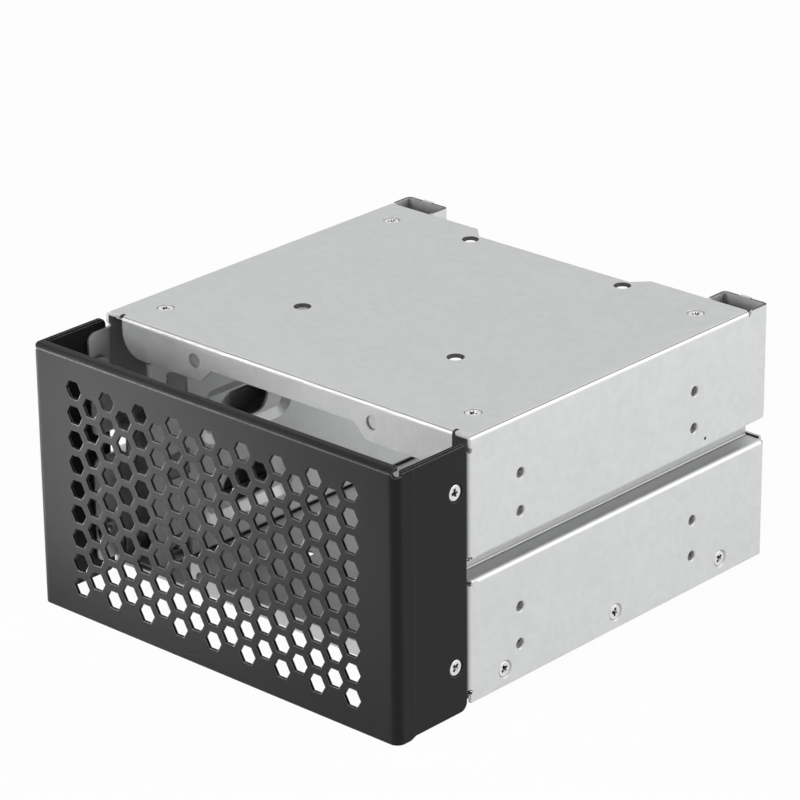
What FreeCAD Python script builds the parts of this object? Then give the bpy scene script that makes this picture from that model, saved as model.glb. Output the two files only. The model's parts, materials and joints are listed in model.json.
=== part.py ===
import FreeCAD, Part
import math
import os

from FreeCAD import Vector

# Empty drive cage for two 5.25 inch bays: a folded steel cage with guide panels for
# three hot swap drives, and a honeycomb fan guard held 30 mm ahead of it.
# Millimetres. X runs to the right seen from the guard, Y runs back, Z runs up.
# Everything is drawn with Y = 0 on the face of the front lips and Z = 0 under the
# floor, and moved at the end so that the origin is the middle of the cage's underside.

# ---------------------------------------------------------------- driving dimensions

# Galvanised sheet, the same gauge throughout
sheet = 1.0
bend_inside = 0.5
seam = 0.05                     # gap between two sheets that lie on each other

# Cage envelope
cage_width = 146.05
cage_height = 83.0
cage_depth = 136.0              # front lips to the back of the rear flanges
plate_back_gap = 9.5            # back edge of top plate and floor to those flanges
plate_recess_depth = 4.8        # shallow step in the middle of that back edge
plate_recess_half = 30.5

# Channel folded into each side between the two bays
channel_low_z = 38.4
channel_height = 6.0
channel_reach = 6.4
channel_back_gap = 1.4          # ledge and web reach almost to the rear flange
channel_roof_gap = 10.0         # the upper fold stops short of the corner post
channel_web_end_height = 4.6    # what stands of its web behind the upper fold

# Corner posts at the back
post_reach = 16.85
post_return = 8.0
post_drop = 0.4                 # post tops below the top plate
post_notch_width = 2.0          # V notch where the top fold ends and the post begins
post_notch_rise = 1.6
post_nub_width = 4.0            # low nub on the top edge of the rear flange
post_nub_height = 0.35
post_gap_above = 1.4            # upper half's edge above the channel
post_gap_radius = 3.0
post_gap_step = 0.5             # lower half's rear flange above the channel's ledge
post_gap_relief_radius = 1.2

# Front lips of the top plate and of the floor, drilled for an 80 mm fan
fan_hole_spacing = 71.5
fan_hole_radius = 2.25
fan_centre_drop = 0.5           # fan centre below the middle of the cage
top_lip_end_gap = 6.825         # each end of the top lip to the cage's side
top_lip_below_hole = 6.05
top_lip_shallow = 7.8
top_lip_corner_radius = 7.5
lip_step_margin = 6.95          # fan hole to the corner where the lip turns shallow
floor_lip_side_margin = 4.45
floor_lip_above_hole = 5.75
floor_lip_short = 5.2
floor_lip_corner_radius = 2.5
lip_relief_width = 1.2
lip_relief_depth = 2.1

# Ears that carry the fan guard
ear_joggle = 1.2
ear_reach = 9.5
ear_low_z = 3.4
ear_top_drop = 4.4
ear_channel_margin = 0.8        # ear edges to the channel's faces
ear_corner_radius = 3.0
ear_relief_radius = 0.75

# Tapped holes in the sides, 5.25 inch bay standard
bay_pitch = 42.0
bay_hole_y = 21.65
bay_hole_spacing = 79.25
bay_hole_z = 11.0
bay_hole_rise = 11.84
tapped_radius = 1.3
tapped_lead_in = 0.55
collar_radius = 2.1
collar_length = 0.9
pilot_back_gap = 29.7
pilot_above_channel = 3.6
pilot_radius = 0.5

# Holes for a 2.5 inch drive, in top plate and floor
drive_hole_spacing_x = 61.72
drive_hole_spacing_y = 76.6
drive_hole_back_gap = 8.5       # rear pair to the back edge of the plate
drive_hole_radius = 1.9
drive_hole_sink = 0.8

# Floor pan
floor_flange_height = 8.4
floor_flange_front = 3.0
floor_flange_back_gap = 2.5
floor_screw_front = 15.0
screw_back_gap = 11.5           # rear screws to the back edge of the plates
floor_screw_z = 5.2

# Guide panels for three drives
guide_inset = 17.825            # face of each panel to the outside of the cage
guide_front = 0.0
guide_lip_clearance = 0.4
guide_back_gap = 0.5
guide_top_side_gap = 1.825      # edge of the top flange to the cage's side wall
guide_foot_side_gap = 3.325
guide_screw_inset = 11.275
guide_screw_front = 14.0
drive_pitch = 27.0
drive_rows = 3
latch_window_y = 7.0
latch_window_z = 2.8
latch_window_depth = 8.8
latch_window_height = 8.4
slot_row_z = 17.8
slot_y = 31.0
slot_length = 21.0
slot_radius = 5.25
dish_front_margin = 10.0
dish_back_margin = 9.0
dish_half_height = 9.0
dish_corner_radius = 6.0
dish_slope = 3.0
dish_depth = 1.5

# Honeycomb fan guard
guard_front_y = -30.8
guard_low_z = -2.2
guard_top_drop = 0.5
guard_lip_depth = 3.2
guard_lip_end_gap = 1.4
guard_lip_corner_radius = 1.4
guard_bend_inside = 1.8         # the two upright folds are softer than the others
guard_side_back_y = -1.5
guard_side_rise = 0.8           # sides above the front's lower edge, past the step
guard_side_drop = 0.7
guard_side_step = 7.5
guard_step_run = 1.8            # the step slopes up over this length
guard_step_radius = 2.5
guard_side_corner_radius = 2.6
guard_corner_relief = 1.1
guard_relief_inset = 0.75       # middle of the relief hole to the guard's side
guard_relief_depth = 2.6
guard_screw_y = -6.0
guard_screw_low_z = 13.4
guard_screw_top_drop = 15.3
cell_pitch = 8.0
cell_across_flats = 5.7
cell_columns = 17
cell_rows = 9                   # in the odd columns, one less in those between
cell_centre_drop = 0.65         # cells below the middle of the guard

# M3 countersunk screws and the nuts behind them
screw_radius = 1.45
screw_head_radius = 2.45
screw_head_sink = 0.3           # heads sit this far below the face
screw_length = 5.0
sink_clearance = 0.12
nut_radius = 3.0
nut_height = 1.5
nut_bore_clearance = 0.05

# ---------------------------------------------------------------- worked-out sizes

X_AXIS = Vector(1, 0, 0)
Y_AXIS = Vector(0, 1, 0)
Z_AXIS = Vector(0, 0, 1)
beyond = 1.0                    # how far cutters run past the metal

half_width = cage_width / 2
bend_outside = bend_inside + sheet
plate_depth = cage_depth - plate_back_gap
channel_depth = cage_depth - channel_back_gap
channel_roof_depth = cage_depth - channel_roof_gap
channel_top_z = channel_low_z + channel_height
channel_web_x = half_width - channel_reach
floor_half = half_width - sheet - seam
ear_face_x = half_width - ear_joggle
guard_half = ear_face_x + seam + sheet
guard_bend_outside = guard_bend_inside + sheet
stack = 2 * sheet + seam        # two sheets clamped by each screw
screw_neck_radius = screw_radius + sink_clearance

fan_hole_half = fan_hole_spacing / 2
fan_centre_z = cage_height / 2 - fan_centre_drop
fan_hole_zs = (fan_centre_z - fan_hole_half, fan_centre_z + fan_hole_half)
top_lip_half = half_width - top_lip_end_gap
top_lip_deep = cage_height - fan_hole_zs[1] + top_lip_below_hole
lip_step_half = fan_hole_half - lip_step_margin
floor_lip_half = fan_hole_half + floor_lip_side_margin
floor_lip_tall = fan_hole_zs[0] + floor_lip_above_hole

ear_top_z = cage_height - ear_top_drop
pilot_y = cage_depth - pilot_back_gap
pilot_z = channel_top_z + pilot_above_channel
drive_hole_y = plate_depth - drive_hole_back_gap - drive_hole_spacing_y
floor_flange_back = plate_depth - floor_flange_back_gap
rear_screw_y = plate_depth - screw_back_gap
floor_screw_ys = (floor_screw_front, (floor_screw_front + rear_screw_y) / 2, rear_screw_y)

guide_half_gap = half_width - guide_inset
guide_back = plate_depth - guide_back_gap
guide_top_flange = guide_inset - sheet - guide_top_side_gap
guide_foot_flange = guide_inset - sheet - guide_foot_side_gap
guide_screw_x = half_width - guide_screw_inset
guide_screw_ys = (guide_screw_front, rear_screw_y)

guard_top_z = cage_height - guard_top_drop
guard_side_low_z = guard_low_z + guard_side_rise
guard_side_top_z = guard_top_z - guard_side_drop
guard_side_step_y = guard_front_y + guard_side_step
guard_screw_zs = (guard_screw_low_z, cage_height - guard_screw_top_drop)
cell_centre_z = (guard_low_z + guard_top_z) / 2 - cell_centre_drop


# ---------------------------------------------------------------- sheet metal helpers

def rounded_edges(corners, radii):
    """Edges of an open path through the corners, each inner corner rounded."""
    edges = []
    start = corners[0]
    for before, corner, after, radius in zip(corners, corners[1:], corners[2:], radii):
        incoming = (corner - before).normalize()
        outgoing = (after - corner).normalize()
        turn = incoming.getAngle(outgoing)
        setback = radius * math.tan(turn / 2)
        arc_start = corner - incoming * setback
        arc_end = corner + outgoing * setback
        towards_centre = (outgoing - incoming).normalize()
        bulge = radius / math.cos(turn / 2) - radius
        arc_middle = corner + towards_centre * bulge
        edges.append(Part.LineSegment(start, arc_start).toShape())
        edges.append(Part.Arc(arc_start, arc_middle, arc_end).toShape())
        start = arc_end
    edges.append(Part.LineSegment(start, corners[-1]).toShape())
    return edges


def bent_sheet(corners, metal_side, run, inside=bend_inside):
    """A folded strip. The corners give its outer face; seen against metal_side the
    metal lies to the left of that path. run is the extrusion along the bends, and
    inside is their inner radius."""
    outside = inside + sheet
    steps = [(b - a).normalize() for a, b in zip(corners, corners[1:])]
    lefts = [metal_side.cross(step) for step in steps]
    inner = [corners[0] + lefts[0] * sheet]
    outer_radii = []
    inner_radii = []
    for corner, step, next_step, left, next_left in zip(
            corners[1:], steps, steps[1:], lefts, lefts[1:]):
        inner.append(corner + (left + next_left) * (sheet / (1 + left.dot(next_left))))
        turns_to_metal = step.cross(next_step).dot(metal_side) > 0
        outer_radii.append(outside if turns_to_metal else inside)
        inner_radii.append(inside if turns_to_metal else outside)
    inner.append(corners[-1] + lefts[-1] * sheet)
    outline = rounded_edges(corners, outer_radii)
    outline.append(Part.LineSegment(corners[-1], inner[-1]).toShape())
    outline += rounded_edges(inner[::-1], inner_radii[::-1])
    outline.append(Part.LineSegment(inner[0], corners[0]).toShape())
    return Part.Face(Part.Wire(Part.__sortEdges__(outline))).extrude(run)


def block(x0, x1, y0, y1, z0, z1):
    return Part.makeBox(x1 - x0, y1 - y0, z1 - z0, Vector(x0, y0, z0))


def plate_from(corners, radii, run):
    """A flat solid of a closed outline whose corners are rounded; a radius of 0
    leaves a corner sharp."""
    outline = []
    count = len(corners)
    starts = []
    ends = []
    for i, corner in enumerate(corners):
        incoming = (corner - corners[i - 1]).normalize()
        outgoing = (corners[(i + 1) % count] - corner).normalize()
        turn = incoming.getAngle(outgoing)
        setback = radii[i] * math.tan(turn / 2)
        arc_start = corner - incoming * setback
        arc_end = corner + outgoing * setback
        starts.append(arc_start)
        ends.append(arc_end)
        if radii[i] > 0:
            bulge = radii[i] / math.cos(turn / 2) - radii[i]
            arc_middle = corner + (outgoing - incoming).normalize() * bulge
            outline.append(Part.Arc(arc_start, arc_middle, arc_end).toShape())
    for i in range(count):
        if ends[i - 1].distanceToPoint(starts[i]) > 1e-6:
            outline.append(Part.LineSegment(ends[i - 1], starts[i]).toShape())
    return Part.Face(Part.Wire(Part.__sortEdges__(outline))).extrude(run)


def turned(profile, at, direction):
    """A solid of revolution: profile is (distance along direction, radius) pairs."""
    points = [Vector(radius, 0, distance) for distance, radius in profile]
    points = [Vector(0, 0, profile[0][0])] + points + [Vector(0, 0, profile[-1][0])]
    face = Part.Face(Part.makePolygon(points + [points[0]]))
    solid = face.revolve(Vector(0, 0, 0), Z_AXIS, 360)
    solid.Placement = FreeCAD.Placement(at, FreeCAD.Rotation(Z_AXIS, direction))
    return solid


def drill(at, direction, radius, depth):
    return Part.makeCylinder(radius, depth, at, direction)


def mirrored(shape):
    return shape.mirror(Vector(0, 0, 0), X_AXIS)


def both_sides(shape):
    return [shape, mirrored(shape)]


# ---------------------------------------------------------------- screws and nuts

def screw(at, direction):
    """Countersunk screw driven along direction, its head a little below the point."""
    neck = screw_head_sink + screw_head_radius - screw_radius
    profile = [(screw_head_sink, screw_head_radius), (neck, screw_radius),
               (screw_length, screw_radius)]
    return turned(profile, at, direction)


def screw_sink(at, direction):
    """Countersink and clearance hole for that screw, through both sheets."""
    mouth = screw_head_radius + screw_head_sink + sink_clearance
    neck = mouth - screw_neck_radius
    profile = [(-beyond, mouth + beyond), (neck, screw_neck_radius),
               (stack + beyond, screw_neck_radius)]
    return turned(profile, at, direction)


def nut(at, direction):
    """Round nut on the inner face of the two sheets that the screw clamps."""
    body = drill(at + direction * stack, direction, nut_radius, nut_height)
    return body.cut(drill(at, direction, screw_radius + nut_bore_clearance,
                          screw_length + beyond))


guide_screws = [(Vector(guide_screw_x, y, cage_height), -Z_AXIS) for y in guide_screw_ys]
base_screws = [(Vector(guide_screw_x, y, 0), Z_AXIS) for y in guide_screw_ys]
floor_screws = [(Vector(half_width, y, floor_screw_z), -X_AXIS) for y in floor_screw_ys]
guard_screws = [(Vector(guard_half, guard_screw_y, z), -X_AXIS) for z in guard_screw_zs]


# ---------------------------------------------------------------- shared plate details

def drive_holes(face_z, direction):
    """Countersunk holes of the 2.5 inch drive pattern, entered at face_z."""
    mouth = drive_hole_radius + drive_hole_sink
    profile = [(-beyond, mouth), (0, mouth), (drive_hole_sink, drive_hole_radius),
               (sheet + beyond, drive_hole_radius)]
    holes = []
    for x in (-drive_hole_spacing_x / 2, drive_hole_spacing_x / 2):
        for y in (drive_hole_y, drive_hole_y + drive_hole_spacing_y):
            holes.append(turned(profile, Vector(x, y, face_z), direction))
    return holes


def fan_holes(z):
    return [drill(Vector(x, -beyond, z), Y_AXIS, fan_hole_radius, 2 * sheet + beyond)
            for x in (-fan_hole_spacing / 2, fan_hole_spacing / 2)]


def back_edge_recess(z):
    """Cutter for the stepped back edge of the top plate or of the floor."""
    inner_y = plate_depth - plate_recess_depth
    outer_half = plate_recess_half + plate_recess_depth
    corners = [Vector(-plate_recess_half, inner_y, z), Vector(plate_recess_half, inner_y, z),
               Vector(outer_half, plate_depth, z), Vector(outer_half, plate_depth + beyond, z),
               Vector(-outer_half, plate_depth + beyond, z), Vector(-outer_half, plate_depth, z)]
    return plate_from(corners, [0] * len(corners), Z_AXIS * (sheet + 2 * beyond))


def stepped_lip(face_z, into_cage, half, tall, short, corner_radius):
    """Front lip folded from a plate: tall ends that hold the fan, a 45 degree step
    and a short middle. into_cage is +1 for the floor's lip and -1 for the top's."""
    path = [Vector(-half, 2 * bend_outside, face_z), Vector(-half, 0, face_z),
            Vector(-half, 0, face_z + into_cage * tall)]
    folded = bent_sheet(path, X_AXIS * -into_cage, X_AXIS * (2 * half))
    step_half = lip_step_half + tall - short
    far_z = face_z + into_cage * (tall + beyond)
    cut_y = -beyond
    middle = [Vector(-step_half - beyond, cut_y, far_z),
              Vector(-lip_step_half, cut_y, face_z + into_cage * short),
              Vector(lip_step_half, cut_y, face_z + into_cage * short),
              Vector(step_half + beyond, cut_y, far_z)]
    notch = plate_from(middle, [0] * 4, Y_AXIS * (bend_outside + 2 * beyond))
    outline = [Vector(-half, cut_y, face_z - into_cage * beyond),
               Vector(half, cut_y, face_z - into_cage * beyond),
               Vector(half, cut_y, face_z + into_cage * tall),
               Vector(-half, cut_y, face_z + into_cage * tall)]
    radii = [0, 0, corner_radius, corner_radius]
    trim = plate_from(outline, radii, Y_AXIS * (2 * bend_outside + 2 * beyond))
    return folded.common(trim).cut(notch)


# ---------------------------------------------------------------- outer shell

def shell_half():
    """Right half of the hood: top plate, side and channel in one folded profile."""
    profile = [Vector(0, 0, cage_height), Vector(half_width, 0, cage_height),
               Vector(half_width, 0, channel_top_z), Vector(channel_web_x, 0, channel_top_z),
               Vector(channel_web_x, 0, channel_low_z), Vector(half_width, 0, channel_low_z),
               Vector(half_width, 0, 0)]
    return bent_sheet(profile, Y_AXIS, Y_AXIS * channel_depth)


def corner_post():
    """Side, rear flange and return flange, folded round the back corner."""
    return_x = half_width - post_reach
    path = [Vector(half_width, channel_roof_depth, 0), Vector(half_width, cage_depth, 0),
            Vector(return_x, cage_depth, 0), Vector(return_x, cage_depth - post_return, 0)]
    return bent_sheet(path, Z_AXIS, Z_AXIS * (cage_height - post_drop))


def post_notch():
    """The V cut between the end of the top fold and the post, through the side."""
    low_z = cage_height - post_drop - post_notch_rise
    high_z = cage_height + beyond
    slope_y = plate_depth + post_notch_width * (high_z - low_z) / post_notch_rise
    corners = [Vector(0, plate_depth, low_z), Vector(0, slope_y, high_z),
               Vector(0, plate_depth, high_z)]
    return plate_from(corners, [0] * 3, X_AXIS * (half_width + beyond))


def post_nub():
    """The low nub that stands on the middle of the rear flange's top edge."""
    middle_x = half_width - post_reach / 2
    return block(middle_x - post_nub_width / 2, middle_x + post_nub_width / 2,
                 cage_depth - sheet, cage_depth, cage_height - post_drop - sheet,
                 cage_height - post_drop + post_nub_height)


def post_channel_gap():
    """Cutters that let the channel out at the back of the post: the gap itself with
    the upper half's rounded corner, the side beside the ledge and a corner relief."""
    x = half_width - post_reach - beyond
    low_z = channel_low_z + post_gap_step
    high_z = channel_top_z + post_gap_above
    far_y = cage_depth + beyond
    outline = [Vector(x, channel_roof_depth - beyond, low_z),
               Vector(x, channel_roof_depth - beyond, high_z),
               Vector(x, cage_depth, high_z), Vector(x, cage_depth, high_z + post_gap_radius),
               Vector(x, far_y, high_z + post_gap_radius), Vector(x, far_y, low_z)]
    gap = plate_from(outline, [0, 0, post_gap_radius * 0.99, 0, 0, 0],
                     X_AXIS * (post_reach + 2 * beyond))
    ledge_side = block(half_width - bend_outside, half_width + beyond,
                       channel_roof_depth - beyond, channel_depth,
                       channel_low_z - bend_outside, high_z)
    relief_at = Vector(half_width - bend_outside, cage_depth - post_gap_relief_radius / 2,
                       channel_low_z)
    relief = drill(relief_at, X_AXIS, post_gap_relief_radius, bend_outside + beyond)
    return [gap, ledge_side, relief]


def ear(low_z, top_z):
    """Joggled tab ahead of the side that the fan guard is screwed to."""
    path = [Vector(ear_face_x, -ear_reach, low_z), Vector(ear_face_x, -ear_joggle, low_z),
            Vector(half_width, 0, low_z), Vector(half_width, 2 * bend_outside, low_z)]
    strip = bent_sheet(path, Z_AXIS, Z_AXIS * (top_z - low_z))
    x = ear_face_x - sheet - beyond
    outline = [Vector(x, -ear_reach, low_z), Vector(x, 2 * bend_outside, low_z),
               Vector(x, 2 * bend_outside, top_z), Vector(x, -ear_reach, top_z)]
    radii = [ear_corner_radius, 0, 0, ear_corner_radius]
    return strip.common(plate_from(outline, radii, X_AXIS * (sheet + ear_joggle + 2 * beyond)))


def bay_holes():
    """Extruded collars and tapped bores of the bay holes in the right side."""
    collars = []
    bores = []
    profile = [(-beyond, tapped_radius + tapped_lead_in), (0, tapped_radius + tapped_lead_in),
               (tapped_lead_in, tapped_radius), (sheet + collar_length + beyond, tapped_radius)]
    for bay in range(2):
        for row in range(2):
            for column in range(2):
                at = Vector(half_width, bay_hole_y + column * bay_hole_spacing,
                            bay_hole_z + bay * bay_pitch + row * bay_hole_rise)
                collars.append(drill(at - X_AXIS * (sheet / 2), -X_AXIS, collar_radius,
                                     sheet / 2 + collar_length))
                bores.append(turned(profile, at, -X_AXIS))
    return collars, bores


def outer_shell():
    ears = [ear(channel_top_z + ear_channel_margin, ear_top_z),
            ear(ear_low_z, channel_low_z - ear_channel_margin)]
    half = shell_half()
    bend_zone_z = cage_height - bend_outside - sheet
    web_top_z = channel_low_z + channel_web_end_height
    half = half.cut(block(-beyond, half_width + beyond, plate_depth, cage_depth,
                          bend_zone_z, cage_height + beyond))
    half = half.cut(block(-beyond, half_width + beyond, channel_roof_depth, cage_depth,
                          web_top_z, channel_top_z + post_gap_above))
    post = corner_post().fuse(post_nub()).cut(
        [block(0, half_width + beyond, 0, plate_depth, bend_zone_z, cage_height + beyond),
         post_notch()])
    post = post.cut(post_channel_gap())
    for tab in ears:
        box = tab.BoundBox
        half = half.cut(block(ear_face_x, half_width + beyond, -beyond, bend_outside,
                              box.ZMin, box.ZMax))
    half = half.fuse([post] + ears)
    half = half.cut(block(-beyond, top_lip_half, -beyond, bend_outside,
                          cage_height - sheet - beyond / 2, cage_height + beyond))
    relief_radius = lip_relief_width / 2
    relief_x = top_lip_half + relief_radius
    relief_y = lip_relief_depth - relief_radius
    relief_z = cage_height - 2 * sheet
    cutters = [block(top_lip_half, top_lip_half + lip_relief_width, -beyond, relief_y,
                     relief_z, cage_height + beyond),
               drill(Vector(relief_x, relief_y, relief_z), Z_AXIS, relief_radius, 3 * sheet)]
    for tab in ears:
        for z in (tab.BoundBox.ZMin, tab.BoundBox.ZMax):
            cutters.append(drill(Vector(ear_face_x - 2 * sheet, 0, z), X_AXIS,
                                 ear_relief_radius, ear_joggle + 3 * sheet))
    collars, bores = bay_holes()
    cutters += bores
    cutters.append(drill(Vector(half_width + beyond, pilot_y, pilot_z), -X_AXIS,
                         pilot_radius, 2 * sheet + beyond))
    cutters += [screw_sink(at, way) for at, way in guide_screws + floor_screws]
    cutters += [screw_sink(at, way) for at, way in guard_screws]
    half = half.fuse(collars).cut(cutters)
    lip = stepped_lip(cage_height, -1, top_lip_half, top_lip_deep, top_lip_shallow,
                      top_lip_corner_radius)
    shell = half.fuse([mirrored(half), lip])
    shell = shell.cut(drive_holes(cage_height, -Z_AXIS) + fan_holes(fan_hole_zs[1])
                      + [back_edge_recess(cage_height - sheet - beyond)])
    return shell.removeSplitter()


# ---------------------------------------------------------------- floor plate

def floor_plate():
    path = [Vector(-floor_half, 0, floor_flange_height), Vector(-floor_half, 0, 0),
            Vector(floor_half, 0, 0), Vector(floor_half, 0, floor_flange_height)]
    pan = bent_sheet(path, -Y_AXIS, Y_AXIS * plate_depth)
    side_z = bend_outside
    for y0, y1 in ((-beyond, floor_flange_front), (floor_flange_back, plate_depth + beyond)):
        for x0 in (-floor_half - beyond, floor_half - bend_outside):
            pan = pan.cut(block(x0, x0 + bend_outside + beyond, y0, y1, -beyond,
                                floor_flange_height + beyond))
    pan = pan.cut(block(-floor_lip_half, floor_lip_half, -beyond, bend_outside,
                        -beyond, side_z))
    lip = stepped_lip(0, 1, floor_lip_half, floor_lip_tall, floor_lip_short,
                      floor_lip_corner_radius)
    relief_radius = lip_relief_width / 2
    cutters = drive_holes(0, Z_AXIS) + fan_holes(fan_hole_zs[0])
    cutters.append(back_edge_recess(-beyond))
    for x in (-floor_lip_half - relief_radius, floor_lip_half + relief_radius):
        relief_y = lip_relief_depth - relief_radius
        cutters.append(block(x - relief_radius, x + relief_radius, -beyond, relief_y,
                             -beyond, 2 * sheet))
        cutters.append(drill(Vector(x, relief_y, -beyond), Z_AXIS, relief_radius, 3 * sheet))
    for at, way in base_screws:
        cutters += both_sides(screw_sink(at, way))
    for at, way in floor_screws:
        cutters += both_sides(screw_sink(at, way))
    return pan.fuse(lip).cut(cutters).removeSplitter()


# ---------------------------------------------------------------- guide panels

def rounded_frame(x, y0, y1, z0, z1, radius):
    """Closed wire of a rounded rectangle that stands across X."""
    corners = [Vector(x, y0, z0), Vector(x, y1, z0), Vector(x, y1, z1), Vector(x, y0, z1)]
    solid = plate_from(corners, [radius] * 4, X_AXIS)
    return min(solid.Faces, key=lambda face: face.CenterOfMass.x).OuterWire


def dish(row_z, shift):
    """The space pressed out of a panel round one slot, moved out by shift."""
    y0 = slot_y - dish_front_margin
    y1 = slot_y + slot_length + dish_back_margin
    face_x = guide_half_gap + shift
    rim = rounded_frame(face_x, y0, y1, row_z - dish_half_height, row_z + dish_half_height,
                        dish_corner_radius)
    base = rounded_frame(face_x + dish_depth, y0 + dish_slope, y1 - dish_slope,
                         row_z - dish_half_height + dish_slope,
                         row_z + dish_half_height - dish_slope,
                         dish_corner_radius - dish_slope)
    return Part.makeLoft([rim, base], True, True)


def drive_slot(row_z):
    """Long hole with round ends in the bottom of the dish."""
    x = guide_half_gap - beyond
    corners = [Vector(x, slot_y, row_z - slot_radius),
               Vector(x, slot_y + slot_length, row_z - slot_radius),
               Vector(x, slot_y + slot_length, row_z + slot_radius),
               Vector(x, slot_y, row_z + slot_radius)]
    return plate_from(corners, [slot_radius * 0.999] * 4,
                      X_AXIS * (sheet + dish_depth + 3 * beyond))


def right_guide_panel():
    top_z = cage_height - sheet - seam
    foot_z = sheet + seam
    path = [Vector(guide_half_gap + guide_foot_flange, guide_front, foot_z),
            Vector(guide_half_gap, guide_front, foot_z),
            Vector(guide_half_gap, guide_front, top_z),
            Vector(guide_half_gap + guide_top_flange, guide_front, top_z)]
    panel = bent_sheet(path, Y_AXIS, Y_AXIS * (guide_back - guide_front))
    lip_y = sheet + guide_lip_clearance
    lip_z = cage_height - top_lip_deep - guide_lip_clearance
    outside_x = half_width + beyond
    panel = panel.cut(block(0, outside_x, guide_front - beyond, lip_y, lip_z, cage_height))
    panel = panel.cut(block(guide_half_gap + sheet, outside_x, guide_front - beyond, lip_y,
                            0, foot_z + 2 * sheet))
    rows = [slot_row_z + row * drive_pitch for row in range(drive_rows)]
    panel = panel.fuse([dish(z, sheet) for z in rows]).cut([dish(z, 0) for z in rows])
    cutters = [drive_slot(z) for z in rows]
    for row in range(drive_rows):
        low_z = latch_window_z + row * drive_pitch
        cutters.append(block(guide_half_gap - beyond, guide_half_gap + sheet + beyond,
                             latch_window_y, latch_window_y + latch_window_depth,
                             low_z, low_z + latch_window_height))
    cutters += [screw_sink(at, way) for at, way in guide_screws + base_screws]
    return panel.cut(cutters).removeSplitter()


# ---------------------------------------------------------------- honeycomb fan guard

def honeycomb():
    """Flat-topped hexagonal cells in staggered columns, all cut in one go."""
    column_pitch = cell_pitch * math.sqrt(3) / 2
    corner_radius = cell_across_flats / math.sqrt(3)
    cells = []
    for column in range(cell_columns):
        rows = cell_rows - column % 2
        x = (column - (cell_columns - 1) / 2) * column_pitch
        for row in range(rows):
            z = cell_centre_z + (row - (rows - 1) / 2) * cell_pitch
            corners = [Vector(x + corner_radius * math.cos(math.radians(60 * k)),
                              guard_front_y - beyond,
                              z + corner_radius * math.sin(math.radians(60 * k)))
                       for k in range(6)]
            cell = Part.Face(Part.makePolygon(corners + [corners[0]]))
            cells.append(cell.extrude(Y_AXIS * (sheet + 2 * beyond)))
    return cells


def fan_guard():
    path = [Vector(-guard_half, guard_side_back_y, guard_low_z),
            Vector(-guard_half, guard_front_y, guard_low_z),
            Vector(guard_half, guard_front_y, guard_low_z),
            Vector(guard_half, guard_side_back_y, guard_low_z)]
    front_top_z = guard_top_z - bend_outside
    wrap = bent_sheet(path, Z_AXIS, Z_AXIS * (front_top_z - guard_low_z), guard_bend_inside)
    upper = Vector(0, 0, guard_side_top_z - front_top_z)
    side_strip = block(-guard_half - beyond, guard_half + beyond,
                       guard_front_y + guard_relief_depth, guard_side_back_y,
                       guard_low_z, guard_top_z)
    wrap = wrap.fuse(wrap.common(side_strip).translated(upper))
    x = -guard_half - beyond
    face_y = guard_front_y - beyond
    outline = [Vector(x, face_y, guard_low_z),
               Vector(x, guard_side_step_y - guard_step_run, guard_low_z),
               Vector(x, guard_side_step_y, guard_side_low_z),
               Vector(x, guard_side_back_y, guard_side_low_z),
               Vector(x, guard_side_back_y, guard_side_top_z),
               Vector(x, face_y, guard_side_top_z)]
    corner = guard_side_corner_radius
    radii = [0, guard_step_radius, 0, corner, corner, 0]
    wrap = wrap.common(plate_from(outline, radii, X_AXIS * (2 * guard_half + 2 * beyond)))
    lip_half = guard_half - guard_lip_end_gap
    lip_path = [Vector(-lip_half, guard_front_y, guard_top_z - 2 * bend_outside),
                Vector(-lip_half, guard_front_y, guard_top_z),
                Vector(-lip_half, guard_front_y + guard_lip_depth, guard_top_z)]
    lip = bent_sheet(lip_path, -X_AXIS, X_AXIS * (2 * lip_half))
    flat_half = guard_half - guard_bend_outside
    for x0 in (-guard_half, flat_half):
        lip = lip.cut(block(x0, x0 + guard_bend_outside, face_y,
                            guard_front_y + guard_lip_depth, 0, front_top_z))
    lip_outline = [Vector(-lip_half, face_y, 0), Vector(lip_half, face_y, 0),
                   Vector(lip_half, guard_front_y + guard_lip_depth, 0),
                   Vector(-lip_half, guard_front_y + guard_lip_depth, 0)]
    lip_round = guard_lip_corner_radius
    lip = lip.common(plate_from(lip_outline, [0, 0, lip_round, lip_round],
                                Z_AXIS * (guard_top_z + beyond)))
    wrap = wrap.fuse(lip)
    cutters = honeycomb()
    for side in (-1, 1):
        relief_at = Vector(side * (guard_half - guard_relief_inset), face_y, front_top_z)
        cutters.append(drill(relief_at, Y_AXIS, guard_corner_relief,
                             beyond + guard_relief_depth))
    for at, way in guard_screws:
        cutters += both_sides(screw_sink(at, way))
    return wrap.cut(cutters).removeSplitter()


# ---------------------------------------------------------------- assembly

def save(name, shapes):
    """Write one node, moved so that the origin is the middle of the underside."""
    shape = shapes[0] if len(shapes) == 1 else Part.makeCompound(shapes)
    shape = shape.copy()
    shape.translate(Vector(0, -cage_depth / 2, 0))
    solids = len(shape.Solids)
    print(name, "solids", solids, "valid", shape.isValid(), "volume", round(shape.Volume, 1))
    shape.exportStep("parts/" + name + ".step")


os.makedirs("parts", exist_ok=True)

save("outer_shell", [outer_shell()])
save("floor_plate", [floor_plate()])
save("fan_guard", [fan_guard()])

guide = right_guide_panel()
save("right_guide_panel", [guide])
save("left_guide_panel", [mirrored(guide)])

for group, places in (("guide_top", guide_screws), ("guide_foot", base_screws),
                      ("floor", floor_screws), ("fan_guard", guard_screws)):
    screws = [screw(at, way) for at, way in places]
    nuts = [nut(at, way) for at, way in places]
    save("right_" + group + "_screws", screws)
    save("left_" + group + "_screws", [mirrored(shape) for shape in screws])
    save("right_" + group + "_nuts", nuts)
    save("left_" + group + "_nuts", [mirrored(shape) for shape in nuts])
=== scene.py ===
import json
import math

import bmesh
import bpy
from mathutils import Matrix, Vector


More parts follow.
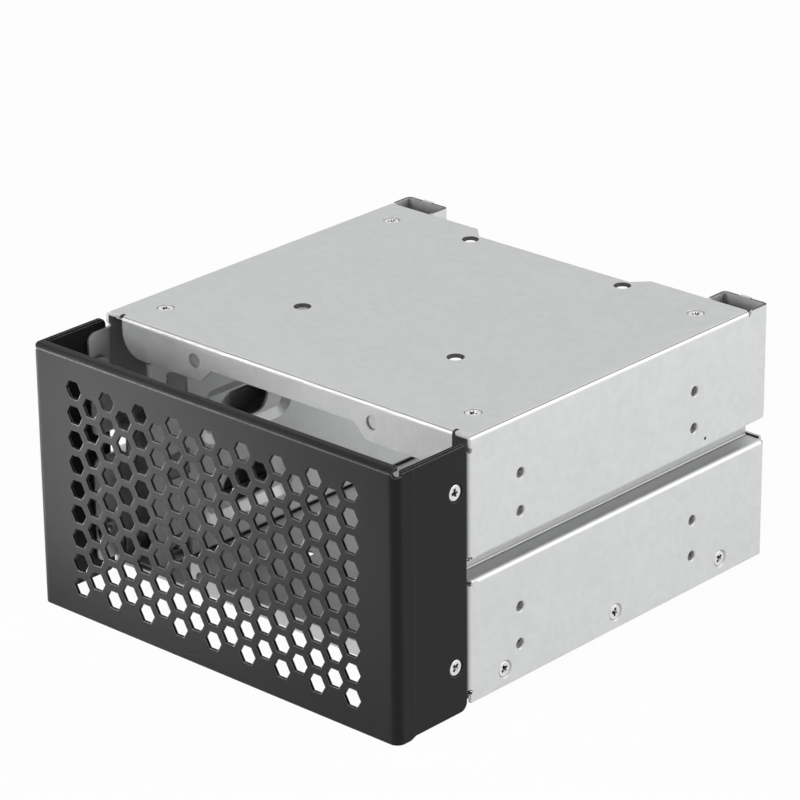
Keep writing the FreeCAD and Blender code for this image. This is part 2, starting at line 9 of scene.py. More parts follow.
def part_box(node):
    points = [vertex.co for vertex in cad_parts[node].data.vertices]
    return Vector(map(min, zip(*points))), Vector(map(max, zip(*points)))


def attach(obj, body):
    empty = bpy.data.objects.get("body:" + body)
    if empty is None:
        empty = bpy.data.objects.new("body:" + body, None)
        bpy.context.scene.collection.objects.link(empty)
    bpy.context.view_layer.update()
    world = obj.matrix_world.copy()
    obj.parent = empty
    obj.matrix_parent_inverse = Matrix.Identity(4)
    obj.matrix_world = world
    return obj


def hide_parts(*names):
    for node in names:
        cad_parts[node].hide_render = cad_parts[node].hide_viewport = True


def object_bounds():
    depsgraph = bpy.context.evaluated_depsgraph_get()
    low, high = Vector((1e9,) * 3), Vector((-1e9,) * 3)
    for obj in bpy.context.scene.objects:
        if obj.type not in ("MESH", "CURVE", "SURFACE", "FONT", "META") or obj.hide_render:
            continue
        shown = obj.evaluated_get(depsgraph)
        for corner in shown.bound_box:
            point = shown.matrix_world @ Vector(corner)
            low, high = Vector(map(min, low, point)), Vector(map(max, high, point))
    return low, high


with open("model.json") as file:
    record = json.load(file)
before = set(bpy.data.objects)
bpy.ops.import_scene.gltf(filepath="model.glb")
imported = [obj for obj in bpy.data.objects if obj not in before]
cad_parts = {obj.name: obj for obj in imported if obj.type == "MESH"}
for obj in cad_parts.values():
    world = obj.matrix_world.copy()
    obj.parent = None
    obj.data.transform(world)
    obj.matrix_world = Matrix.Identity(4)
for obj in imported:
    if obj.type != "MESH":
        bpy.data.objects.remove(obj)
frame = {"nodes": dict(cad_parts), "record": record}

cad_low, cad_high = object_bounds()
nodes = frame["nodes"]
mounts = {mount["name"]: mount for mount in frame["record"]["mounts"]}


# ---------------------------------------------------------------- hood
# One blank of 1 mm hot dip galvanised steel, folded on a press brake into the top, both sides
# with their mid channels, the corner posts, the ears and the front lip. The zinc is satin, with
# a faint spangle and the fine streaks of the temper rolls, and duller on the sheared edges. The
# walls of the top's countersunk holes, tight gaps and deep hollows get painted shade in the
# colour.

spangle_size = 0.0022
spangle_wander = 0.0012
wander_scale = 900.0
streak_spacing = 0.00035
streak_length = 0.012
streak_relief = 0.00003
streak_strength = 0.12
streak_share = 0.5
mottle_scale = 45.0
mottle_share = 0.35
sheared_edge_width = 0.00022
edge_begins = 0.995             # cosine between the rounded and the flat normal
edge_full = 0.8
gap_width = 0.0015
gap_open = 0.9                  # share of open directions with no gap, and in a full one
gap_closed = 0.45
hollow_width = 0.02
hollow_open = 0.38
hollow_closed = 0.06
steep_below = 0.95
sink_reach = 5 / 3              # how far a countersink reaches, in radii of its hole
post_top_drop = 0.0004
post_top_margin = 0.0001
pattern_low = 0.2
pattern_high = 0.8
zinc_dark = (0.578, 0.584, 0.586, 1)
zinc_light = (0.64, 0.646, 0.648, 1)
worn_zinc = (0.42, 0.42, 0.415, 1)
sheared_steel = (0.13, 0.13, 0.13, 1)
recess_shade = (0.06, 0.06, 0.059, 1)
zinc_roughness = (0.5, 0.58)
zinc_metallic = 0.8


def new_group(name, inputs, outputs):
    """Shader node group with named number inputs and named outputs, and its two ends."""
    group = bpy.data.node_groups.new(name, "ShaderNodeTree")
    for label, value in inputs.items():
        socket = group.interface.new_socket(label, in_out="INPUT",
                                            socket_type="NodeSocketFloat")
        socket.default_value = value
    for label, kind in outputs.items():
        group.interface.new_socket(label, in_out="OUTPUT", socket_type="NodeSocket" + kind)
    given = group.nodes.new("NodeGroupInput").outputs
    result = group.nodes.new("NodeGroupOutput").inputs
    return group, given, result


def add(tree, kind, inputs, **settings):
    """One shader node. A socket given as an input is linked, a plain value is set."""
    node = tree.nodes.new("ShaderNode" + kind)
    for name, value in settings.items():
        setattr(node, name, value)
    for key, value in inputs.items():
        if isinstance(value, bpy.types.NodeSocket):
            tree.links.new(value, node.inputs[key])
        else:
            node.inputs[key].default_value = value
    return node


def place(tree, group, **inputs):
    """A node group put into a tree, and its outputs. An underscore stands for a space."""
    named = {name.replace("_", " "): value for name, value in inputs.items()}
    return add(tree, "Group", named, node_tree=group).outputs


def maths(tree, operation, *values):
    """The result of a Math node, whose inputs are sockets or plain numbers."""
    return add(tree, "Math", dict(enumerate(values)), operation=operation).outputs[0]


def rescaled(tree, value, start, end, low=0.0, high=1.0):
    """A value between start and end turned into one between low and high."""
    return add(tree, "MapRange", {"Value": value, "From Min": start, "From Max": end,
                                  "To Min": low, "To Max": high}).outputs["Result"]


def mixed(tree, share, first, second, kind="FLOAT"):
    """Two numbers, or colours for RGBA, mixed by the share that the second has."""
    return add(tree, "Mix", {"Factor": share, "A": first, "B": second},
               data_type=kind).outputs["Result"]


def noise(tree, position, scale, detail, roughness=0.5):
    """Soft noise with so many patches to the metre."""
    return add(tree, "TexNoise", {"Vector": position, "Scale": scale, "Detail": detail,
                                  "Roughness": roughness}).outputs


def on_part(tree):
    """A point's place in the part's own frame, in metres."""
    return add(tree, "TexCoord", {}).outputs["Object"]


def split(tree, vector):
    """X, Y and Z of a vector."""
    return add(tree, "SeparateXYZ", {"Vector": vector}).outputs


def facing(tree):
    """X, Y and Z of the direction in which the face looks."""
    return split(tree, add(tree, "NewGeometry", {}).outputs["True Normal"])


def rolled_zinc_group():
    """Spangle and rolling streaks, both from 0 to 1. The streaks run along the coil, which is
    front to back on plates and sides, and upright on the front lips."""
    group, given, result = new_group(
        "rolled zinc", {"Spangle Size": spangle_size, "Streak Spacing": streak_spacing,
                        "Streak Length": streak_length},
        {"Spangle": "Float", "Streaks": "Float"})
    position = on_part(group)
    x, y, z = split(group, position)
    normal = facing(group)
    across = mixed(group, maths(group, "ABSOLUTE", normal["X"]), x, z)
    along = mixed(group, maths(group, "ABSOLUTE", normal["Y"]), y, z)
    stretched = add(group, "CombineXYZ", {
        "X": maths(group, "DIVIDE", across, given["Streak Spacing"]),
        "Y": maths(group, "DIVIDE", along, given["Streak Length"])}).outputs[0]
    streaks = noise(group, stretched, 1.0, detail=3.0, roughness=0.6)["Fac"]
    wander = noise(group, position, wander_scale, detail=2.0)["Color"]
    cells = add(group, "TexVoronoi", {
        "Vector": mixed(group, spangle_wander, position, wander, "VECTOR"),
        "Scale": maths(group, "DIVIDE", 1.0, given["Spangle Size"])})
    tone = add(group, "SeparateColor", {"Color": cells.outputs["Color"]})
    group.links.new(tone.outputs["Red"], result["Spangle"])
    group.links.new(streaks, result["Streaks"])
    return group


def softened_edge_group():
    """Rounds the look of sharp edges, and marks them from 0 on faces to 1 on edges."""
    group, given, result = new_group("softened edge", {"Width": sheared_edge_width},
                                     {"Normal": "Vector", "Edge": "Float"})
    rounded = add(group, "Bevel", {"Radius": given["Width"]}, samples=6).outputs["Normal"]
    flat = add(group, "NewGeometry", {}).outputs["Normal"]
    agreement = add(group, "VectorMath", {0: rounded, 1: flat}, operation="DOT_PRODUCT")
    edge = rescaled(group, agreement.outputs["Value"], edge_begins, edge_full)
    group.links.new(rounded, result["Normal"])
    group.links.new(edge, result["Edge"])
    return group


def tight_gap_group():
    """Marks gaps and bores narrower than the given width, from 0 on open faces to 1."""
    group, given, result = new_group(
        "tight gap", {"Width": gap_width, "Open": gap_open, "Closed": gap_closed},
        {"Gap": "Float"})
    open_share = add(group, "AmbientOcclusion", {"Distance": given["Width"]}, samples=8)
    gap = rescaled(group, open_share.outputs["AO"], given["Open"], given["Closed"])
    group.links.new(gap, result["Gap"])
    return group


def drilled_wall_group():
    """Marks the walls of a plate's countersunk holes, which stand in two rows and two columns
    round the middle of the width, from 0 to 1."""
    group, given, result = new_group(
        "drilled wall", {"Column Half": 0.0, "Row Middle": 0.0, "Row Half": 0.0, "Reach": 0.0},
        {"Wall": "Float"})
    x, y, _ = split(group, on_part(group))
    aside = maths(group, "SUBTRACT", maths(group, "ABSOLUTE", x), given["Column Half"])
    behind = maths(group, "ABSOLUTE", maths(group, "SUBTRACT", y, given["Row Middle"]))
    behind = maths(group, "SUBTRACT", behind, given["Row Half"])
    offset = add(group, "CombineXYZ", {"X": aside, "Y": behind}).outputs[0]
    away = add(group, "VectorMath", {0: offset}, operation="LENGTH").outputs["Value"]
    near = maths(group, "LESS_THAN", away, given["Reach"])
    upright = maths(group, "ABSOLUTE", facing(group)["Z"])
    steep = maths(group, "LESS_THAN", upright, steep_below)
    group.links.new(maths(group, "MULTIPLY", near, steep), result["Wall"])
    return group


def new_material(name):
    """An empty node material, its tree and its Principled BSDF."""
    material = bpy.data.materials.new(name)
    material.use_nodes = True
    return material, material.node_tree, material.node_tree.nodes["Principled BSDF"]


def give(tree, shader, **inputs):
    """Links what a shader takes. An underscore stands for a space."""
    for name, socket in inputs.items():
        tree.links.new(socket, shader.inputs[name.replace("_", " ")])


def galvanised_material():
    material, tree, steel = new_material("galvanised steel")
    zinc = place(tree, rolled_zinc, Spangle_Size=spangle_size, Streak_Spacing=streak_spacing,
                 Streak_Length=streak_length)
    edge = place(tree, softened_edge, Width=sheared_edge_width)
    mottle = noise(tree, on_part(tree), mottle_scale, detail=4.0, roughness=0.6)["Fac"]
    fine = mixed(tree, streak_share, zinc["Spangle"], zinc["Streaks"])
    pattern = mixed(tree, mottle_share, fine, mottle)
    tone = add(tree, "ValToRGB", {"Fac": pattern})
    for k, (position, colour) in enumerate(((pattern_low, zinc_dark),
                                            (pattern_high, zinc_light))):
        tone.color_ramp.elements[k].position = position
        tone.color_ramp.elements[k].color = colour
    worn = mixed(tree, edge["Edge"], tone.outputs["Color"], worn_zinc, "RGBA")

    height = split(tree, on_part(tree))["Z"]
    upwards = facing(tree)["Z"]
    post_top = maths(tree, "COMPARE", height, cad_high.z - post_top_drop, post_top_margin)
    sheared = maths(tree, "MULTIPLY", post_top, upwards)
    bare = mixed(tree, sheared, worn, sheared_steel, "RGBA")

    # Painted shade: the walls of the top's countersunk holes, tight gaps and deep steep hollows
    # are darkened towards recess_shade in the colour.
    holes = mounts["top_drive_holes"]
    size = holes["dims"]
    wall = place(tree, drilled_wall, Column_Half=size["spacing_x_mm"] / 1000 / 2,
                 Row_Middle=holes["pos_m"][1], Row_Half=size["spacing_y_mm"] / 1000 / 2,
                 Reach=size["hole_r_mm"] / 1000 * sink_reach)["Wall"]
    gap = place(tree, tight_gap, Width=gap_width, Open=gap_open, Closed=gap_closed)["Gap"]
    hollow = place(tree, tight_gap, Width=hollow_width, Open=hollow_open,
                   Closed=hollow_closed)["Gap"]
    steep = maths(tree, "SUBTRACT", 1.0, maths(tree, "ABSOLUTE", upwards))
    cavity = maths(tree, "MULTIPLY", hollow, steep)
    painted_shade_share = maths(tree, "MAXIMUM", maths(tree, "MAXIMUM", wall, gap), cavity)
    shaded = mixed(tree, painted_shade_share, bare, recess_shade, "RGBA")

    gloss = rescaled(tree, pattern, pattern_low, pattern_high, *zinc_roughness)
    relief = add(tree, "Bump", {"Strength": streak_strength, "Distance": streak_relief,
                                "Height": zinc["Streaks"], "Normal": edge["Normal"]})
    steel.inputs["Metallic"].default_value = zinc_metallic
    give(tree, steel, Base_Color=shaded, Roughness=gloss, Normal=relief.outputs["Normal"])
    return material


def finish_node(name, material):
    """Gives a CAD node's own surface its material."""
    mesh = nodes[name].data
    mesh.materials.clear()
    mesh.materials.append(material)


rolled_zinc = rolled_zinc_group()
softened_edge = softened_edge_group()
tight_gap = tight_gap_group()
drilled_wall = drilled_wall_group()
galvanised = galvanised_material()
finish_node("outer_shell", galvanised)


# ---------------------------------------------------------------- floor plate
# The hood's underside is closed by a second plate of the same galvanised steel. Its sides are
# turned up inside the hood's and screwed to them, and its front lip has a tab for each fan hole.

finish_node("floor_plate", galvanised)


# ---------------------------------------------------------------- guide panels
# Two upright panels of the same steel hold the drive carriers. Each is pressed with a shallow
# dish, punched with slots and latch windows, and screwed at its folded top and foot.

for side_name in ("left", "right"):
    finish_node(side_name + "_guide_panel", galvanised)


# ---------------------------------------------------------------- honeycomb fan guard
# One piece of 1 mm steel, punched with hexagons, folded back along the top and both sides, and
# powder coated a fine matt black. The coat is thin and grey on the cut edges, and the edges that
# face upwards carry a painted highlight as well. A thin painted highlight runs under the top
# fold, and another along the faint crease that the folding tools leave down each side.

coat_grain_size = 0.0007
grain_relief = 0.00004
grain_strength = 0.7
grain_low = 0.3
grain_high = 0.7
haze_scale = 35.0
grain_share = 0.75
coat_edge_width = 0.0003
rim_side_begins = 0.03          # upward part of the normal where the painted highlight on the rims begins
rim_side_full = 0.25
rim_elsewhere = 0.1
fold_line_width = 0.0003
fold_highlight_drop = 0.0015
top_valley_drop = 0.0008
top_valley_width = 0.0006
crease_from_front = 0.0075
grit_scale = 1500.0
grit_low = 0.3
grit_high = 0.6
grit_least = 0.35
coat_dark = (0.0, 0.0, 0.0, 1)
coat_light = (0.013, 0.013, 0.0135, 1)
coat_rim_and_highlight = (0.4, 0.4, 0.405, 1)
painted_fold_highlight = (0.16, 0.16, 0.16, 1)
crease_highlight = (0.02, 0.02, 0.021, 1)
coat_roughness = (0.44, 0.58)
coat_ior = 1.27


def fold_line_mark_group():
    """Marks a straight line along a fold: 1 where the place equals the line's, falling to 0 at
    the width, and a little broken along its length."""
    group, given, result = new_group(
        "fold line mark", {"Place": 0.0, "Line": 0.0, "Width": fold_line_width}, {"Mark": "Float"})
    off = maths(group, "ABSOLUTE", maths(group, "SUBTRACT", given["Place"], given["Line"]))
    share = maths(group, "DIVIDE", off, given["Width"])
    solid = rescaled(group, share, 0.0, 1.0, 1.0, 0.0)
    grit = noise(group, on_part(group), grit_scale, detail=2.0)["Fac"]
    broken = rescaled(group, grit, grit_low, grit_high, grit_least, 1.0)
    group.links.new(maths(group, "MULTIPLY", solid, broken), result["Mark"])
    return group


def powder_coat_material():
    material, tree, coat = new_material("black powder coat")
    guard_low, guard_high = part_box("fan_guard")
    position = on_part(tree)
    _, y, z = split(tree, position)
    # Painted highlight: a thin light line under the top fold, where the fold's rounding catches
    # the light.
    fold_highlight = place(tree, fold_line_mark, Place=z, Line=guard_high.z - fold_highlight_drop,
                     Width=fold_line_width)["Mark"]
    top_valley = place(tree, fold_line_mark, Place=z, Line=guard_high.z - top_valley_drop,
                       Width=top_valley_width)["Mark"]
    # A real crease runs down each side; the light line along it is a painted highlight.
    crease = place(tree, fold_line_mark, Place=y, Line=guard_low.y + crease_from_front,
                   Width=fold_line_width)["Mark"]

    edge = place(tree, softened_edge, Width=coat_edge_width)
    grain = noise(tree, position, 1 / coat_grain_size, detail=2.0, roughness=0.55)["Fac"]
    haze = noise(tree, position, haze_scale, detail=3.0)["Fac"]
    speckle = mixed(tree, grain_share, haze, grain)
    tone = mixed(tree, speckle, coat_dark, coat_light, "RGBA")
    # The cut edges are grey where the coat is thin, and those that face upwards also carry a
    # painted highlight.
    upper_side = rescaled(tree, split(tree, edge["Normal"])["Z"], rim_side_begins,
                          rim_side_full, rim_elsewhere, 1.0)
    rim = maths(tree, "MULTIPLY", edge["Edge"], upper_side)
    tone = mixed(tree, rim, tone, coat_rim_and_highlight, "RGBA")
    tone = mixed(tree, fold_highlight, tone, painted_fold_highlight, "RGBA")
    tone = mixed(tree, crease, tone, crease_highlight, "RGBA")

    gloss = rescaled(tree, grain, grain_low, grain_high, *coat_roughness)
    gloss = mixed(tree, top_valley, gloss, 1.0)
    relief = add(tree, "Bump", {"Strength": grain_strength, "Distance": grain_relief,
                                "Height": grain, "Normal": edge["Normal"]})
    coat.inputs["IOR"].default_value = coat_ior
    give(tree, coat, Base_Color=tone, Roughness=gloss, Normal=relief.outputs["Normal"])
    return material


fold_line_mark = fold_line_mark_group()
finish_node("fan_guard", powder_coat_material())


# ---------------------------------------------------------------- countersunk screws
# M3 x 5 countersunk machine screws with a cross recess, cold headed and thread rolled in
# steel, then zinc plated. Each is driven flush into its countersink.

head_radius = 0.00245
shank_radius = 0.00145
screw_length = 0.0047
thread_pitch = 0.0005
thread_depth = 0.00028
thread_flat = 1.25              # over 1, so the crest is flat, and how steep the flanks are
thread_slope = 2.9
tip_narrowing = 1.2             # how far in the tip's end lies, in depths of the thread
rows_per_turn = 4
end_rows = 0.6
screw_steps = 36
head_rim = ((0.00018, 0.0003), (0.00003, 0.00014), (0.00006, 0.00006), (0.0002, 0.0))
recess_depth = 0.0013
recess_top_half = 0.00134
recess_bottom_half = 0.00045
recess_wing_top = 0.0005
recess_wing_bottom = 0.00024
recess_core_top = 0.000875
recess_core_depth = 0.001495
recess_core_steps = 16
above_head = 0.0001
flare_along = 1.08              # how much wider the wings are above the head
flare_across = 1.05
plate_edge_width = 0.00008
plate_haze_scale = 1200.0
plate_haze_low = 0.3
plate_haze_high = 0.7
recess_reach = 0.0016
recess_closed = 0.35            # share of open directions deep in the recess, and outside it
recess_open = 0.85
plate_dark = (0.66, 0.66, 0.65, 1)
plate_light = (0.76, 0.76, 0.75, 1)
plate_recess_shade = (0.03, 0.027, 0.025, 1)
plate_roughness = (0.24, 0.36)
turn_between_screws = 0.9


def thread_profile(turns):
    """Height of a rolled thread, 0 in the root and 1 on the crest, after some turns."""
    from_crest = abs(turns % 1.0 - 0.5)
    return min(1.0, max(0.0, thread_flat - thread_slope * from_crest))


def ring(work, radius_at, z, steps):
    """A ring of vertices round Z, whose radius is a function of the angle in turns."""
    return [work.verts.new((radius_at(k / steps) * math.cos(2 * math.pi * k / steps),
                            radius_at(k / steps) * math.sin(2 * math.pi * k / steps), z))
            for k in range(steps)]


def join_rings(work, lower, upper):
    steps = len(lower)
    for k in range(steps):
        after = (k + 1) % steps
        work.faces.new((lower[k], lower[after], upper[after], upper[k]))


def screw_blank():
    """The screw without its recess. Its head lies at Z = 0 and its tip points down."""
    work = bmesh.new()
    neck_z = -(head_radius - shank_radius)
    threaded = screw_length + neck_z
    rows = rows_per_turn * round(threaded / thread_pitch)
    root = shank_radius - thread_depth
    tip_radius = shank_radius - thread_depth * tip_narrowing
    rings = [ring(work, lambda turn: tip_radius, -screw_length, screw_steps)]
    for row in range(rows + 1):
        z = -screw_length + (row + end_rows) * threaded / (rows + 2 * end_rows)

        def crest(turn, z=z):
            return root + thread_depth * thread_profile(z / thread_pitch + turn)

        rings.append(ring(work, crest, z, screw_steps))
    rings.append(ring(work, lambda turn: shank_radius, neck_z, screw_steps))
    for inwards, below in head_rim:
        rings.append(ring(work, lambda turn, less=inwards: head_radius - less, -below,
                          screw_steps))
    for lower, upper in zip(rings, rings[1:]):
        join_rings(work, lower, upper)
    work.faces.new(rings[-1])
    work.faces.new(list(reversed(rings[0])))
    return work


def wing(turned_by):
    """One tapered wing of the driver's tip, as eight corners and their hull."""
    work = bmesh.new()
    turn = Matrix.Rotation(turned_by, 3, "Z")
    corners = []
    top_half = recess_top_half * flare_along
    top_width = recess_wing_top * flare_across
    for half, width, z in ((top_half, top_width, above_head),
                           (recess_bottom_half, recess_wing_bottom, -recess_depth)):
        for x, y in ((half, width), (-half, width), (-half, -width), (half, -width)):
            corners.append(work.verts.new(turn @ Vector((x, y, z))))
    bmesh.ops.convex_hull(work, input=corners)
    return work


def wing_core():
    """The cone in the middle of the driver's tip."""
    work = bmesh.new()
    top = ring(work, lambda turn: recess_core_top, above_head, recess_core_steps)
    bottom = ring(work, lambda turn: recess_wing_bottom, -recess_core_depth,
                  recess_core_steps)
    join_rings(work, bottom, top)
    work.faces.new(top)
    work.faces.new(list(reversed(bottom)))
    return work


def shape_from(work, name):
    """The finished object of what was built in a bmesh."""
    mesh = bpy.data.meshes.new(name)
    bmesh.ops.recalc_face_normals(work, faces=work.faces)
    work.to_mesh(mesh)
    work.free()
    shape = bpy.data.objects.new(name, mesh)
    bpy.context.scene.collection.objects.link(shape)
    return shape


def screw_mesh():
    """A screw's mesh, with the cross recess cut by two crossing wings and a cone."""
    blank = shape_from(screw_blank(), "screw blank")
    tools = [shape_from(wing(0.0), "driver wing"),
             shape_from(wing(math.pi / 2), "driver wing"),
             shape_from(wing_core(), "driver core")]
    for tool in tools:
        cut = blank.modifiers.new("recess", "BOOLEAN")
        cut.operation = "DIFFERENCE"
        cut.solver = "EXACT"
        cut.object = tool
    shapes = bpy.context.evaluated_depsgraph_get()
    mesh = bpy.data.meshes.new_from_object(blank.evaluated_get(shapes))
    for shape in tools + [blank]:
        bpy.data.objects.remove(shape)
    return mesh


def zinc_plate_material():
    """Bright zinc plate: smoother and lighter than the sheets, with painted shade in the recess.
    """
    material, tree, plate = new_material("zinc plate")
    edge = place(tree, softened_edge, Width=plate_edge_width)
    haze = noise(tree, on_part(tree), plate_haze_scale, detail=3.0)["Fac"]
    tone = mixed(tree, haze, plate_dark, plate_light, "RGBA")
    # Painted shade: the cross recess is darkened in the colour where few directions are open.
    open_share = add(tree, "AmbientOcclusion", {"Distance": recess_reach}, samples=6)
    open_face = rescaled(tree, open_share.outputs["AO"], recess_closed, recess_open)
    shaded = mixed(tree, open_face, plate_recess_shade, tone, "RGBA")
    gloss = rescaled(tree, haze, plate_haze_low, plate_haze_high, *plate_roughness)
    plate.inputs["Metallic"].default_value = 1.0
    give(tree, plate, Base_Color=shaded, Roughness=gloss, Normal=edge["Normal"])
    return material


def spots(node, outwards, count):
    """Where a group's fasteners sit: the middles of their outer faces, evenly spaced along the
    longest side of the group's box."""
    low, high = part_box(node)
    size = high - low
    depth_axis = max(range(3), key=lambda axis: abs(outwards[axis]))
    row_axis = max((axis for axis in range(3) if axis != depth_axis),
                   key=lambda axis: size[axis])
    width_axis = 3 - depth_axis - row_axis
    radius = size[width_axis] / 2
    middle = (low + high) / 2
    middle[depth_axis] = high[depth_axis] if outwards[depth_axis] > 0 else low[depth_axis]
    places = []
    for k in range(count):
        spot = middle.copy()
        spot[row_axis] = low[row_axis] + radius + k * (size[row_axis] - 2 * radius) / (count - 1)
        places.append(spot)
    return places


def stand_on(spot, outwards):
    """The matrix that puts a fastener at a spot, with its Z along outwards."""
    return Matrix.Translation(spot) @ outwards.to_track_quat("Z", "Y").to_matrix().to_4x4()


def copy_into(work, mesh, matrix):
    """Adds a moved copy of a mesh to a bmesh."""
    copy = mesh.copy()
    copy.transform(matrix)
    work.from_mesh(copy)
    bpy.data.meshes.remove(copy)


def repeated(name, mesh, node, outwards, count, first_turn):
    """Copies of one fastener's mesh on a group's spots, joined into one piece. Each is turned
    by another part of a turn, as a driver leaves them."""
    work = bmesh.new()
    for k, spot in enumerate(spots(node, outwards, count)):
        turned_by = Matrix.Rotation(first_turn + turn_between_screws * k, 4, "Z")
        copy_into(work, mesh, stand_on(spot, outwards) @ turned_by)
    joined = bpy.data.meshes.new(name)
    work.to_mesh(joined)
    work.free()
    piece = bpy.data.objects.new(name, joined)
    bpy.context.scene.collection.objects.link(piece)
    return piece


screw = screw_mesh()
zinc_plate = zinc_plate_material()
sideways = Vector((1, 0, 0))
upwards = Vector((0, 0, 1))
# Each group's name, the way its heads look, how many they are, and the first one's turn.
screw_groups = (("guide_top_screws", upwards, 2, 0.2), ("guide_foot_screws", -upwards, 2, 1.1),
                ("floor_screws", sideways, 3, 0.5), ("fan_guard_screws", sideways, 2, 0.8))
for side_name, side in (("right", 1), ("left", -1)):
    for group_name, outwards, count, first_turn in screw_groups:
        if outwards.x:
            outwards = outwards * side
        node_name = side_name + "_" + group_name
        screws = repeated(node_name + "_turned", screw, node_name, outwards, count, first_turn)
        screws.data.materials.append(zinc_plate)
        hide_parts(node_name)
        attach(screws, "root")


# ---------------------------------------------------------------- round nuts
# Plain round nuts of steel with the screws' bright zinc plate, one to each screw, pressed
# against the inner sheet's inner face.

for side_name in ("right", "left"):
    for group_name in ("guide_top_nuts", "guide_foot_nuts", "floor_nuts", "fan_guard_nuts"):
        finish_node(side_name + "_" + group_name, zinc_plate)


# ---------------------------------------------------------------- tapped bay holes
# Each side has eight extruded holes tapped M3 for the bay's own screws. The tap cuts through
# the zinc, so the thread is bare steel. Its crests carry a painted glint and its roots painted
# shade.

lead_in = 0.0003
tapped_length = 0.0016
crest_depth = 0.00016
wall_overlap = 0.00003
end_margin = 0.00002
tapped_rows = 14
tapped_steps = 28
painted_root_shade = (0.01, 0.01, 0.01, 1)
painted_crest_glint = (0.95, 0.95, 0.94, 1)
crest_narrowing = 2.0
tapped_metallic = 0.6
tapped_roughness = 0.35


def thread_ring(bore_radius):
    """One tapped bore's thread as a closed ring. Its mouth lies at Z = 0."""
    in_wall = bore_radius + wall_overlap
    work = bmesh.new()
    crest_share = work.verts.layers.float.new("crest")
    rings = [ring(work, lambda turn: in_wall, 0.0, tapped_steps)]
    for row in range(tapped_rows + 1):
        z = -end_margin - row * (tapped_length - 2 * end_margin) / tapped_rows

        def crest(turn, z=z):
            return bore_radius - crest_depth * thread_profile(z / thread_pitch + turn)

        rings.append(ring(work, crest, z, tapped_steps))
    rings.append(ring(work, lambda turn: in_wall, -tapped_length, tapped_steps))
    for corner in work.verts:
        height = bore_radius - math.hypot(corner.co.x, corner.co.y)
        corner[crest_share] = height / crest_depth
    for lower, upper in zip(rings, rings[1:] + rings[:1]):
        join_rings(work, lower, upper)
    return work


def tapped_steel_material():
    material, tree, steel = new_material("tapped steel")
    crest = add(tree, "Attribute", {}, attribute_name="crest").outputs["Fac"]
    # Painted glint on the thread's crests and painted shade in its roots.
    glint_share = maths(tree, "POWER", crest, crest_narrowing)
    steel.inputs["Metallic"].default_value = tapped_metallic
    steel.inputs["Roughness"].default_value = tapped_roughness
    give(tree, steel, Base_Color=mixed(tree, glint_share, painted_root_shade, painted_crest_glint, "RGBA"))
    return material


def bay_threads(name, side, rows_of_holes):
    """The threads of one side's holes, which stand four to a row, joined into one piece."""
    face_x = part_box("outer_shell")[1].x - lead_in
    work = bmesh.new()
    for row in rows_of_holes:
        size = row["dims"]
        threads = thread_ring(size["hole_r_mm"] / 1000)
        one = bpy.data.meshes.new("one thread")
        threads.to_mesh(one)
        threads.free()
        for across in (-0.5, 0.5):
            for up in (-0.5, 0.5):
                spot = Vector((side * face_x,
                               row["pos_m"][1] + across * size["spacing_x_mm"] / 1000,
                               row["pos_m"][2] + up * size["spacing_y_mm"] / 1000))
                copy_into(work, one, stand_on(spot, sideways * side))
        bpy.data.meshes.remove(one)
    return shape_from(work, name)


tapped_steel = tapped_steel_material()
for side_name, side in (("right", 1), ("left", -1)):
    threads = bay_threads(side_name + "_bay_threads", side,
                          [mounts[side_name + "_lower_bay_holes"],
                           mounts[side_name + "_upper_bay_holes"]])
    threads.data.materials.append(tapped_steel)
    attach(threads, "root")


# ---------------------------------------------------------------- studio
# A plain white table and backdrop. The camera sees the floor mostly by its own white, so that
# it meets the backdrop, and the object's soft shadow stays on it faintly.

floor_half = 3.0
floor_paint = (0.9, 0.9, 0.9, 1)
floor_roughness = 0.9
plain_white = (1, 1, 1, 1)
own_white = 0.97
ambient = 0.04


def background_share(tree, first_bounce):
    """1 where the camera, a glass or a gloss that the camera sees looks at the background,
    else 0. The world counts the first bounce as one more than a surface does."""
    path = add(tree, "LightPath", {}).outputs
    first = maths(tree, "LESS_THAN", path["Ray Depth"], first_bounce + 0.5)
    gloss = maths(tree, "MULTIPLY", path["Is Glossy Ray"], first)
    direct = maths(tree, "MAXIMUM", path["Is Camera Ray"], path["Is Transmission Ray"])
    return maths(tree, "MAXIMUM", gloss, direct)


def studio_floor():
    work = bmesh.new()
    corners = [work.verts.new((x * floor_half, y * floor_half, cad_low.z))
               for x, y in ((-1, -1), (1, -1), (1, 1), (-1, 1))]
    work.faces.new(corners)
    floor = shape_from(work, "studio_floor")
    material, tree, paint = new_material("white table")
    paint.inputs["Base Color"].default_value = floor_paint
    paint.inputs["Roughness"].default_value = floor_roughness
    glow = add(tree, "Emission", {"Color": plain_white, "Strength": 1.0})
    share = maths(tree, "MULTIPLY", background_share(tree, 1), own_white)
    blend = add(tree, "MixShader", {0: share, 1: paint.outputs[0], 2: glow.outputs[0]})
    give(tree, tree.nodes["Material Output"], Surface=blend.outputs[0])
    floor.data.materials.append(material)


def backdrop():
    world = bpy.data.worlds.new("studio")
    bpy.context.scene.world = world
    world.use_nodes = True
    tree = world.node_tree
    sky = tree.nodes["Background"]
    sky.inputs["Color"].default_value = plain_white
    give(tree, sky, Strength=rescaled(tree, background_share(tree, 2), 0.0, 1.0, ambient, 1.0))


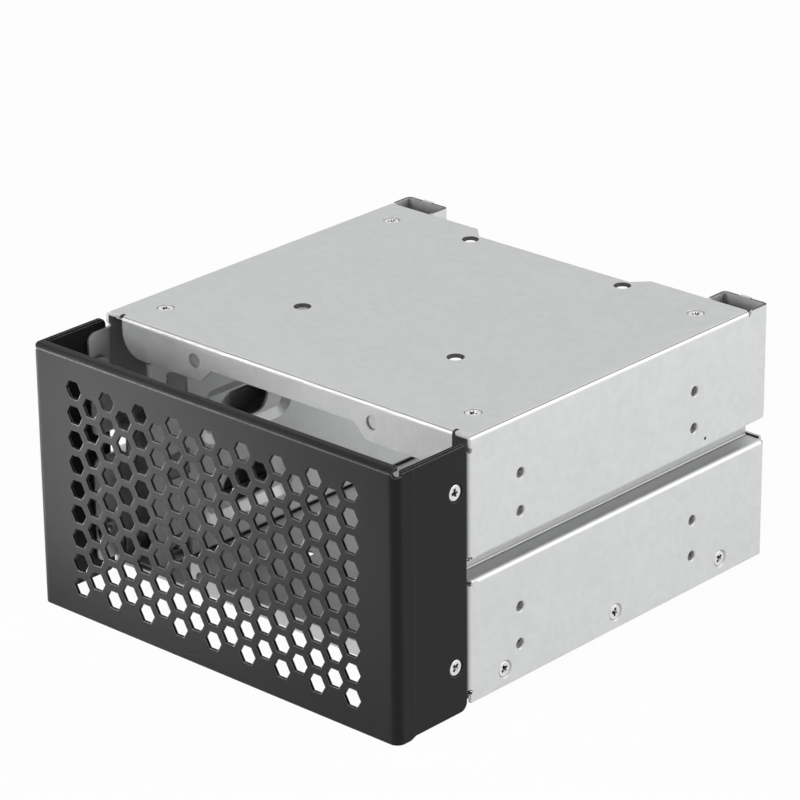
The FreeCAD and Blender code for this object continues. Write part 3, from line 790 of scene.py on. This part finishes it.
def soft_box(name, spot, aim, width, height, power, spread=180.0):
    """A rectangular lamp at spot that faces aim. A grid narrows its spread."""
    lamp = bpy.data.lights.new(name, "AREA")
    lamp.shape = "RECTANGLE"
    lamp.size = width
    lamp.size_y = height
    lamp.energy = power
    lamp.spread = math.radians(spread)
    holder = bpy.data.objects.new(name, lamp)
    holder.location = spot
    holder.rotation_euler = (aim - spot).to_track_quat("-Z", "Y").to_euler()
    holder.visible_camera = False
    bpy.context.scene.collection.objects.link(holder)


studio_floor()
backdrop()
middle = (cad_low + cad_high) / 2
guard_aim = Vector((-0.02, -0.1, 0.04))
soft_box("front soft box", Vector((-0.1, -1.1, 0.5)), middle,
         width=0.5, height=0.5, power=8.2)
soft_box("right soft box", Vector((1.05, 0.68, 0.5)), middle,
         width=1.0, height=1.0, power=9.6)
soft_box("low soft box", Vector((-0.2, -0.178, 0.04)), guard_aim,
         width=0.04, height=0.1, power=0.075, spread=30.0)


# ---------------------------------------------------------------- camera
# A long lens from the right of the guard's corner, a little above the object, and leaning by
# half a degree as a hand-levelled tripod does.

camera_azimuth = math.radians(42.544)
camera_elevation = math.radians(22.730)
camera_lean = math.radians(-0.591)
camera_distance = 1.2019
camera_aside = -0.00135
camera_lift = 0.01564
camera_lens = 178.7
sensor_width = 36.0
farthest_seen = 50.0


def studio_camera():
    back = Vector((math.sin(camera_azimuth) * math.cos(camera_elevation),
                   -math.cos(camera_azimuth) * math.cos(camera_elevation),
                   math.sin(camera_elevation)))
    level = Vector((math.cos(camera_azimuth), math.sin(camera_azimuth), 0))
    right = Matrix.Rotation(camera_lean, 3, back) @ level
    up = back.cross(right)
    spot = middle + right * camera_aside + up * camera_lift + back * camera_distance
    camera = bpy.data.objects.new("camera", bpy.data.cameras.new("camera"))
    camera.data.lens = camera_lens
    camera.data.sensor_width = sensor_width
    camera.data.clip_end = farthest_seen
    turned = Matrix((right, up, back)).transposed().to_4x4()
    camera.matrix_world = Matrix.Translation(spot) @ turned
    bpy.context.scene.collection.objects.link(camera)
    bpy.context.scene.camera = camera


studio_camera()
bpy.context.scene.view_settings.view_transform = "Standard"
